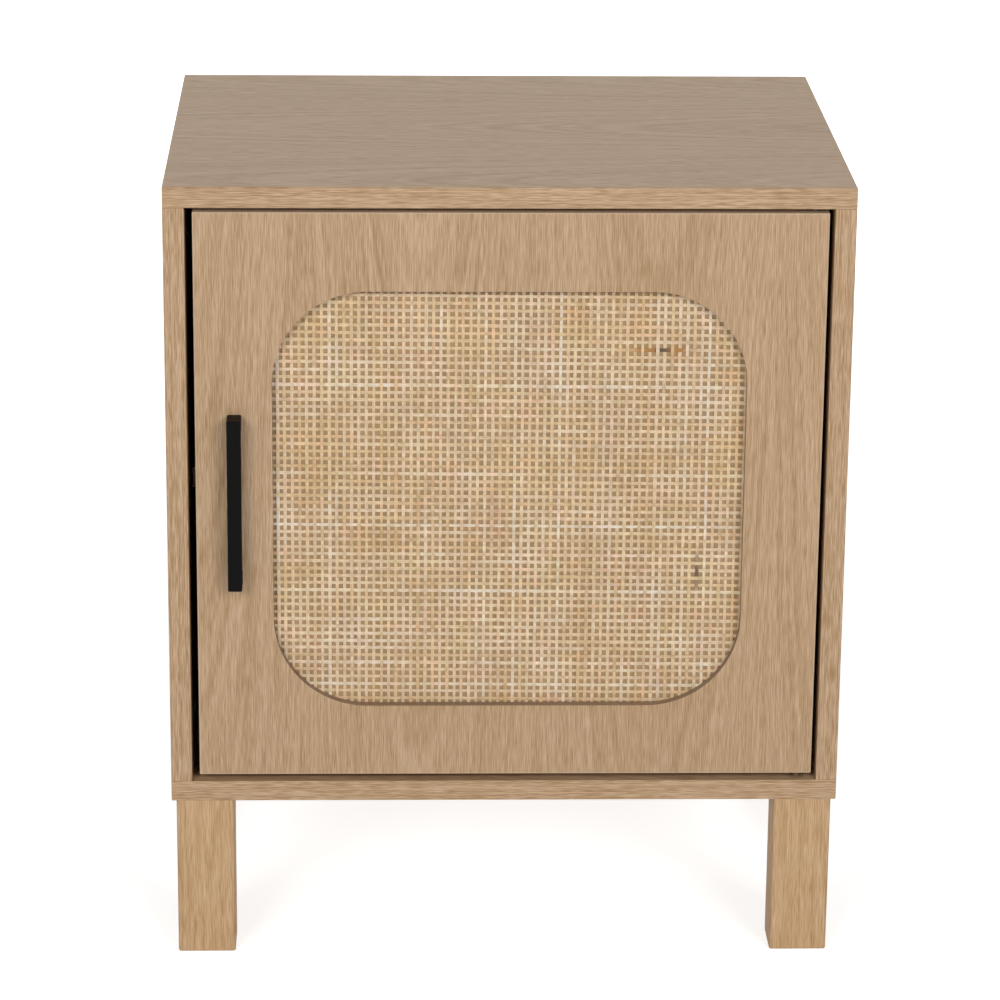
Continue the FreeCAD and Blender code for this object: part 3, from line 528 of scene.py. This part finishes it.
def board_finish(name, shade, seed, rear=None):
    """Thin board: a colour with fine fibre specks, and a mottled one behind its middle where it is given."""
    sheet = new_sheet(name)
    place = sheet.place()
    x, y, z = place
    speck = sheet.speckle(place, SPECKS, seed)
    fibre = sheet.noise(sheet.vector(x * FIBRES_ACROSS, y * FIBRES_ACROSS, z * FIBRES_ALONG + seed))
    base = sheet.mottled(speck * SPECK_SHARE + fibre, reach=0.3, shade=shade, dark=0.84, pale=1.16)
    if rear is not None:
        fleck = sheet.speckle(place, FLECKS, seed, detail=3.0, roughness=0.7)
        cloud = sheet.speckle(place, CLOUDS, seed)
        raw = sheet.mottled(fleck + cloud * CLOUD_SHARE, reach=0.22, shade=rear, dark=0.78, pale=1.2)
        middle = (BACK_LOW.y + BACK_HIGH.y) / 2
        base = sheet.mix(sheet.step(y - middle, *BACK_FADE), base, raw)
    values = {"Base Color": base, "Roughness": BOARD_ROUGHNESS + speck * BOARD_GLOSS}
    return sheet.surface(values, speck, depth=0.00008, strength=0.4)


def cane_finish(name, cane, rim, core):
    """Split cane: colours that drift over the panel and along each strand, fine fibres and one stained patch.

    A sum of noises and the strand's own tone is read as a colour. One more noise tints it from straw to rose
    and another from ashen to orange. The patch has a colour for its rim and one for its core.
    """
    sheet = new_sheet(name)
    x, _, z = sheet.place()
    tone, along, across, stain = (sheet.attribute(label) for label in STRAND_LABELS)

    def over_panel(cells, layer, detail=1.0):
        """Noise over the panel, in cells per metre."""
        return sheet.noise(sheet.vector(x * cells, z * cells, layer), detail)

    def along_strand(cells, spread, layer, detail=1.0):
        """Noise along a strand, in cells per metre, which its own tone sets apart."""
        return sheet.noise(sheet.vector(along * cells, tone * spread, layer), detail)

    def in_fibres(cells, split, spread, detail):
        """Noise along and across a strand, in cells per metre and cells per half width."""
        return sheet.noise(sheet.vector(along * cells, across * split, tone * spread), detail)

    area = over_panel(cells=26.0, layer=0.0, detail=2.0)
    patch = along_strand(cells=30.0, spread=90.0, layer=0.0, detail=2.0)
    knot = along_strand(cells=170.0, spread=50.0, layer=4.0)
    fibre = in_fibres(cells=80.0, split=2.4, spread=70.0, detail=2.0)
    grit = in_fibres(cells=420.0, split=1.6, spread=35.0, detail=1.0)
    hue = along_strand(cells=14.0, spread=60.0, layer=9.0)
    hue = hue + over_panel(cells=20.0, layer=5.0) * PANEL_SHARE
    warmth = along_strand(cells=55.0, spread=75.0, layer=2.0)
    warmth = warmth + over_panel(cells=45.0, layer=7.0) * PANEL_SHARE
    value = MEAN_TONE + tone * OWN_SHARE + sheet.step(tone, low=0.78, high=0.94) * PALE_SHARE
    value = value + area * AREA_SHARE + patch * PATCH_SHARE + fibre * FIBRE_SHARE + knot * KNOT_SHARE
    shade = sheet.ramp(value, [(0.08, cane.golden), (0.36, cane.tan), (0.66, cane.cream), (1.0, cane.white)])
    shade = sheet.tinted(shade, sheet.mix(sheet.step(hue, low=-0.22, high=0.22), cane.straw, cane.rose))
    shade = sheet.tinted(shade, sheet.mix(sheet.step(warmth, low=-0.02, high=0.26), cane.ashen, cane.orange))
    light = cane.light + (knot + fibre + grit) * GRIT_LIGHT + area * AREA_LIGHT
    shade = sheet.tinted(shade, sheet.vector(light, light, light))
    uneven = stain + (knot + fibre) * RAGGED
    on_patch = sheet.step(stain, low=0.0, high=0.1)
    shade = sheet.mix(sheet.step(uneven, low=0.2, high=0.85) * on_patch, shade, rim)
    shade = sheet.mix(sheet.step(uneven, low=0.92, high=1.04), shade, core)
    values = {"Base Color": shade, "Roughness": CANE_ROUGHNESS - fibre * CANE_GLOSS}
    return sheet.surface(values, fibre, depth=0.00005, strength=0.4)


def metal_finish(name, shade, roughness, seed):
    """Bare metal with a fine uneven polish."""
    sheet = new_sheet(name)
    grit = sheet.speckle(sheet.place(), METAL_GRIT, seed)
    base = sheet.mottled(grit, reach=0.2, shade=shade, dark=0.9, pale=1.0)
    values = {"Base Color": base, "Metallic": 1.0, "Roughness": roughness + grit * METAL_GLOSS}
    return sheet.surface(values, grit, depth=0.00002, strength=0.3)


def moulded_finish(name, shade, roughness, depth, cells, seed, shine=0.5):
    """Coated metal, plastic or ferrite: one colour with a fine orange-peel surface."""
    sheet = new_sheet(name)
    peel = sheet.speckle(sheet.place(), cells, seed)
    base = sheet.mottled(peel, reach=0.25, shade=shade, dark=0.88, pale=1.1)
    values = {"Base Color": base, "Roughness": roughness + peel * PEEL_GLOSS, "Specular IOR Level": shine}
    return sheet.surface(values, peel, depth, strength=0.5)


# Cane strands

def chord(middles, low, high, side_low, side_high, corner):
    """Where straight lines at given middles enter and leave a rectangle with round corners.

    Inside the corners' reach, the line ends a corner radius less the root of the radius squared minus the
    square of the way into the corner.
    """
    into = np.maximum(0.0, np.maximum(side_low + corner - middles, middles - side_high + corner))
    cut = corner - np.sqrt(np.maximum(0.0, corner ** 2 - np.minimum(into, corner) ** 2))
    return low + cut, high - cut


def strand_grid(middles, ends, crossing, pitch, fall, turn, cane, draws):
    """Points and labels of flat strands, with strand, station and section corner as their axes.

    Along a strand, the depth is a flattened cosine with one half-wave for each crossing strand, from the
    first of them on, and the sign of every second strand turned. Sideways it falls evenly and wanders by two
    sines.
    """
    count = len(middles)
    number = np.arange(1, count + 1)[:, None, None]
    start, stop = (end[:, None, None] for end in ends)
    along = start + (stop - start) * np.linspace(0.0, 1.0, cane.stations + 1)[None, :, None]
    phase = draws.uniform(0.0, 2 * np.pi, (2, count, 1, 1))
    sines = np.sin(along * SLOW_WANDER + phase[0]) + QUICK_SHARE * np.sin(along * QUICK_WANDER + phase[1])
    width = cane.strand_width * draws.uniform(*WIDTH_SHARES, (count, 1, 1))
    astray = sines * WANDER_SHARE + draws.normal(0.0, WANDER_SHARE, (count, 1, 1))
    middle = middles[:, None, None] + cane.wander * astray - fall * along
    sideways = middle + SECTION_ACROSS * width / 2
    half_waves = (along - crossing) / pitch + number
    wave = np.tanh(FLATNESS * np.cos(np.pi * half_waves)) / np.tanh(FLATNESS)
    forward = turn * cane.wave * wave + SECTION_RISE * cane.strand_thickness / 2
    tone = draws.beta(TONE_SHAPE, TONE_SHAPE, (count, 1, 1))
    return np.broadcast_arrays(sideways, forward, along, tone, SECTION_ACROSS)


def stained_patch(middles, along, place, spot, half):
    """Strength of a patch on the strand nearest to a place, and 0 on the others.

    It is the peak less the way from a spot along the strand over half the patch's length, and not below 0.
    """
    chosen = np.arange(len(middles)) == np.argmin(np.abs(middles - place))
    return chosen[:, None, None] * np.maximum(PATCH_PEAK - np.abs(along - spot) / half, 0.0)


def strand_faces(count, stations, sides):
    """Quads of closed tubes, one ring of sides after another, and one cap for each end."""
    ring = np.arange(count * (stations + 1) * sides).reshape(count, stations + 1, sides)
    turned = np.roll(ring, -1, axis=2)
    quads = np.stack([ring[:, :-1], ring[:, 1:], turned[:, 1:], turned[:, :-1]], axis=-1).reshape(-1, 4)
    caps = np.concatenate([ring[:, 0], ring[:, -1, ::-1]])
    return quads, caps


def signed_volume(points, quads):
    """Six times the volume that the quads enclose: the sum of the triple products of their triangles."""
    first, second, third, fourth = (points[quads[:, corner]] for corner in range(4))
    return np.sum(np.cross(first, second) * third) + np.sum(np.cross(first, third) * fourth)


def strand_piece(name, points, labels, material):
    """One mesh of all the strands that run one way, smooth over the dome and sharp at the edges."""
    count, rings, sides, _ = points.shape
    quads, caps = strand_faces(count, rings - 1, sides)
    flat = points.reshape(-1, 3)
    if signed_volume(flat, quads) < 0:
        quads, caps = quads[:, ::-1], caps[:, ::-1]
    mesh = bpy.data.meshes.new(name)
    mesh.from_pydata(flat.tolist(), [], quads.tolist() + caps.tolist())
    for label, values in labels.items():
        layer = mesh.attributes.new(label, "FLOAT", "POINT")
        layer.data.foreach_set("value", np.ascontiguousarray(values, dtype=np.float32).ravel())
    mesh.polygons.foreach_set("use_smooth", np.ones(len(mesh.polygons), dtype=bool))
    ends = np.empty(len(mesh.edges) * 2, dtype=np.int32)
    mesh.edges.foreach_get("vertices", ends)
    corner = ends.reshape(-1, 2) % sides
    lengthwise = (corner[:, 0] == corner[:, 1]) & (SECTION_ACROSS[corner[:, 0]] != 0.0)
    mesh.edges.foreach_set("use_edge_sharp", lengthwise)
    mesh.materials.append(material)
    mesh.update()
    piece = bpy.data.objects.new(name, mesh)
    bpy.context.scene.collection.objects.link(piece)
    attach(piece, "door")
    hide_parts("cane_panel")


def strand_places(low, high, shift, pitch, margin):
    """Evenly spaced middles of strands about a shifted middle, all inside two limits less a margin."""
    count = int((high - low) / pitch)
    places = (low + high) / 2 + shift + pitch * np.arange(-count, count + 1)
    return places[(places > low + margin) & (places < high - margin)]


def weave(cane):
    """Upright and lying strands that pass over and under each other inside the cane panel's outline."""
    draws = np.random.default_rng(DRAW_SEED)
    low, high = CANE_LOW, CANE_HIGH
    corner = CANE_CORNER + cane.strand_width
    margin = cane.strand_width + cane.fall * (high.x - low.x) / 2
    across = strand_places(low.x, high.x, cane.shift_x, cane.pitch_x, margin)
    upwards = strand_places(low.z, high.z, cane.shift_z, cane.pitch_z, margin)
    crossing = (upwards[0] - cane.fall * across)[:, None, None]
    depth = low.y + cane.wave + cane.strand_thickness / 2 + CANE_CLEARANCE
    runs = (
        ("cane_upright_strands", across, (crossing, cane.pitch_z, 0.0), (low.z, high.z, low.x, high.x),
         1.0, GREY_STAIN, (cane.stain, cane.dark_stain)),
        ("cane_lying_strands", upwards, (across[0], cane.pitch_x, cane.fall), (low.x, high.x, low.z, high.z),
         -1.0, BARK_PATCH, (cane.honey, cane.bark)),
    )
    for name, middles, layout, outline, turn, patch, stains in runs:
        ends = chord(middles, *outline, corner)
        sideways, forward, along, tone, section = strand_grid(middles, ends, *layout, turn, cane, draws)
        stain = stained_patch(middles, along, *patch)
        spots = (sideways, depth - forward, along) if turn > 0 else (along, depth - forward, sideways)
        labels = dict(zip(STRAND_LABELS, (tone, along, section, stain)))
        strand_piece(name, np.stack(spots, axis=-1), labels, cane_finish(name, cane, *stains))


# Stage

def seen_directly(sheet):
    """1 where the camera sees a surface itself, in a mirror or through glass, and 0 for diffuse light."""
    path = sheet.add("ShaderNodeLightPath")
    camera, glossy, through = (Term(sheet, path.outputs["Is %s Ray" % kind])
                               for kind in ("Camera", "Glossy", "Transmission"))
    return sheet.math("MINIMUM", camera + glossy + through, 1.0)


def make_floor(studio):
    """A flat square, whose colour gains a glow where it is seen directly, so only shadows are below white.

    The glow rises to full white with the distance from the table.
    """
    half = studio.floor_size
    corners = np.array([(-half, -half, 0.0), (half, -half, 0.0), (half, half, 0.0), (-half, half, 0.0)])
    mesh = bpy.data.meshes.new("floor")
    mesh.from_pydata(corners.tolist(), [], [(0, 1, 2, 3)])
    sheet = new_sheet("floor")
    x, y, _ = sheet.place()
    away = sheet.step(sheet.math("SQRT", x * x + y * y), *GLOW_REACH)
    shade = sheet.mix(away, [studio.floor_glow] * 3, WHITE)
    plain = sheet.add("ShaderNodeBsdfDiffuse", None, {"Color": (*studio.floor, 1.0)})
    glow = sheet.add("ShaderNodeEmission", None, {"Color": shade, "Strength": 1.0})
    both = sheet.add("ShaderNodeAddShader", None, {0: plain.outputs[0], 1: glow.outputs[0]})
    shader = sheet.add("ShaderNodeMixShader", None,
                       {0: seen_directly(sheet), 1: plain.outputs[0], 2: both.outputs[0]})
    sheet.add("ShaderNodeOutputMaterial", None, {"Surface": shader.outputs[0]})
    mesh.materials.append(sheet.owner)
    floor = bpy.data.objects.new("floor", mesh)
    bpy.context.scene.collection.objects.link(floor)


def make_world(scene, studio):
    """White where it is seen directly, and a weaker even light elsewhere."""
    world = bpy.data.worlds.new("white_room")
    sheet = Sheet(world)
    white = (*WHITE, 1.0)
    seen = sheet.add("ShaderNodeBackground", None, {"Color": white, "Strength": 1.0})
    light = sheet.add("ShaderNodeBackground", None, {"Color": white, "Strength": studio.ambient})
    shader = sheet.add("ShaderNodeMixShader", None,
                       {0: seen_directly(sheet), 1: light.outputs[0], 2: seen.outputs[0]})
    sheet.add("ShaderNodeOutputWorld", None, {"Surface": shader.outputs[0]})
    scene.world = world


def make_lamp(name, spot, way, size, watts):
    """A square soft box at a spot, which shines against the way it lies from its target and isn't seen.

    It isn't mirrored either, so that no lying board is washed out.
    """
    data = bpy.data.lights.new(name, "AREA")
    data.shape = "SQUARE"
    data.size = size
    data.energy = watts
    lamp = bpy.data.objects.new(name, data)
    lamp.location = spot
    lamp.rotation_mode = "QUATERNION"
    lamp.rotation_quaternion = (-way).to_track_quat("-Z", "Y")
    lamp.visible_camera = False
    lamp.visible_glossy = False
    bpy.context.scene.collection.objects.link(lamp)


def make_lamps(studio):
    """Two soft boxes in front, one behind, all at one rise above the door's middle, and one overhead."""
    target = (DOOR_LOW + DOOR_HIGH) / 2
    rise = studio.lamp_rise
    boxes = (
        ("soft_box_left", -studio.lamp_side, studio.lamp_power),
        ("soft_box_right", studio.lamp_side, studio.lamp_power),
        ("soft_box_rear", math.pi, studio.rear_power),
    )
    for name, turn, watts in boxes:
        way = Vector((math.sin(turn) * math.cos(rise), -math.cos(turn) * math.cos(rise), math.sin(rise)))
        make_lamp(name, target + way * studio.lamp_distance, way, studio.lamp_size, watts)
    up = Vector((0.0, 0.0, 1.0))
    make_lamp("soft_box_overhead", up * studio.sky_height, up, studio.sky_size, studio.sky_power)


def make_camera(scene, studio):
    """The photograph's camera: yaw about the upright, then pitch, then roll about its own line of sight."""
    data = bpy.data.cameras.new("camera")
    data.lens = studio.lens
    data.clip_end = CLIP_END
    camera = bpy.data.objects.new("camera", data)
    pitch, roll, yaw = studio.camera_turn
    turn = (Matrix.Rotation(yaw, 4, "Z") @ Matrix.Rotation(math.pi / 2 - pitch, 4, "X")
            @ Matrix.Rotation(roll, 4, "Z"))
    camera.matrix_world = Matrix.Translation(studio.camera_place) @ turn
    scene.collection.objects.link(camera)
    scene.camera = camera


# Operators

class SIDETABLE_OT_boards(Operator):
    """Oak on the panels that lie and the sides that stand"""
    bl_idname = "side_table.boards"
    bl_label = "Oak boards"

    def execute(self, context):
        oak = context.scene.side_table.oak
        for name, node, seed in LYING_BOARDS:
            dress(lying_oak(name, oak, seed), node)
        for name, node, seed, heart in STANDING_BOARDS:
            dress(standing_oak(name, oak, seed, heart), node)
        return {"FINISHED"}


class SIDETABLE_OT_legs(Operator):
    """Oak on the four legs"""
    bl_idname = "side_table.legs"
    bl_label = "Oak legs"

    def execute(self, context):
        oak = context.scene.side_table.oak
        for count, name in enumerate(LEGS):
            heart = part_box(name)[0].y - LEG_HEART
            dress(leg_oak("oak_" + name, oak, LEG_SEED + LEG_SEED_STEP * count, heart), name)
        return {"FINISHED"}


class SIDETABLE_OT_door(Operator):
    """Oak on the door, and the board behind its cane"""
    bl_idname = "side_table.door"
    bl_label = "Door"

    def execute(self, context):
        settings = context.scene.side_table
        dress(door_oak("oak_door", settings.oak), "door_frame")
        dress(board_finish("backing_board", settings.fittings.hardboard, seed=5.0), "door_backing")
        return {"FINISHED"}


class SIDETABLE_OT_back(Operator):
    """Thin board at the back"""
    bl_idname = "side_table.back"
    bl_label = "Back panel"

    def execute(self, context):
        fittings = context.scene.side_table.fittings
        dress(board_finish("back_board", fittings.hardboard, seed=9.0, rear=fittings.raw_back), "back_panel")
        return {"FINISHED"}


class SIDETABLE_OT_cane(Operator):
    """Woven cane in the door's cut-out"""
    bl_idname = "side_table.cane"
    bl_label = "Cane"

    def execute(self, context):
        weave(context.scene.side_table.cane)
        return {"FINISHED"}


class SIDETABLE_OT_handle(Operator):
    """Matt black coating on the bar handle"""
    bl_idname = "side_table.handle"
    bl_label = "Handle"

    def execute(self, context):
        coating = moulded_finish("black_coating", context.scene.side_table.fittings.handle, roughness=0.48,
                                 depth=0.00003, cells=2600.0, seed=1.0, shine=0.07)
        dress(coating, "handle")
        return {"FINISHED"}


class SIDETABLE_OT_fittings(Operator):
    """Steel, brass, plastic, ferrite and beech on the fittings"""
    bl_idname = "side_table.fittings"
    bl_label = "Fittings"

    def execute(self, context):
        fittings = context.scene.side_table.fittings
        steel = metal_finish("zinc_plated_steel", fittings.steel, roughness=0.34, seed=0.0)
        dress(steel, "shelf_pins", "leg_bolts", "cam_bolts", "cam_locks", "backing_screws", "handle_screws",
              "catch_pole_plates", "catch_screws", "strike_plate", "strike_screws")
        brass = metal_finish("turned_brass", fittings.brass, roughness=0.30, seed=3.0)
        dress(brass, "leg_inserts")
        coating = moulded_finish("brown_coating", fittings.pin, roughness=0.50, depth=0.00002, cells=2600.0,
                                 seed=8.0, shine=0.2)
        dress(coating, "upper_pivot_pin", "lower_pivot_pin")
        plastic = moulded_finish("bushing_plastic", fittings.bushing, roughness=0.45, depth=0.00002,
                                 cells=1500.0, seed=2.0)
        dress(plastic, "upper_pivot_bushing", "lower_pivot_bushing", "pivot_pad")
        housing = moulded_finish("catch_plastic", fittings.catch, roughness=0.42, depth=0.00003, cells=1500.0,
                                 seed=4.0)
        dress(housing, "catch_housing")
        ferrite = moulded_finish("ferrite", fittings.ferrite, roughness=0.65, depth=0.00004, cells=3000.0,
                                 seed=6.0)
        dress(ferrite, "catch_magnet")
        dress(board_finish("beech", fittings.beech, seed=14.0), "leg_dowels", "panel_dowels")
        return {"FINISHED"}


class SIDETABLE_OT_stage(Operator):
    """Pale floor, soft boxes, white surroundings and the camera"""
    bl_idname = "side_table.stage"
    bl_label = "Stage"

    def execute(self, context):
        studio = context.scene.side_table.studio
        make_floor(studio)
        make_world(context.scene, studio)
        make_lamps(studio)
        make_camera(context.scene, studio)
        context.scene.view_settings.view_transform = "Standard"
        return {"FINISHED"}


# Panel and registration

OPERATORS = (
    SIDETABLE_OT_boards,
    SIDETABLE_OT_legs,
    SIDETABLE_OT_door,
    SIDETABLE_OT_back,
    SIDETABLE_OT_cane,
    SIDETABLE_OT_handle,
    SIDETABLE_OT_fittings,
    SIDETABLE_OT_stage,
)


class SIDETABLE_PT_panel(Panel):
    """Lists the pieces and their settings"""
    bl_label = "Side Table"
    bl_idname = "SIDETABLE_PT_panel"
    bl_space_type = "VIEW_3D"
    bl_region_type = "UI"
    bl_category = "Side Table"

    def draw(self, context):
        layout = self.layout
        for operator in OPERATORS:
            layout.operator(operator.bl_idname)
        settings = context.scene.side_table
        for group in (settings.oak, settings.cane, settings.fittings, settings.studio):
            box = layout.box()
            box.label(text=group.bl_rna.description)
            for name in group.__annotations__:
                box.prop(group, name)


CLASSES = (OakSettings, CaneSettings, FittingSettings, StudioSettings, SideTableSettings,
           *OPERATORS, SIDETABLE_PT_panel)


def register():
    """Register the classes and hang the settings on the scene."""
    for item in CLASSES:
        bpy.utils.register_class(item)
    bpy.types.Scene.side_table = PointerProperty(type=SideTableSettings)


def unregister():
    """Take the settings and the classes away again."""
    del bpy.types.Scene.side_table
    for item in reversed(CLASSES):
        bpy.utils.unregister_class(item)


def main():
    """Make every piece and the stage."""
    register()
    for operator in OPERATORS:
        group, name = operator.bl_idname.split(".")
        getattr(getattr(bpy.ops, group), name)()


if __name__ == "__main__":
    main()
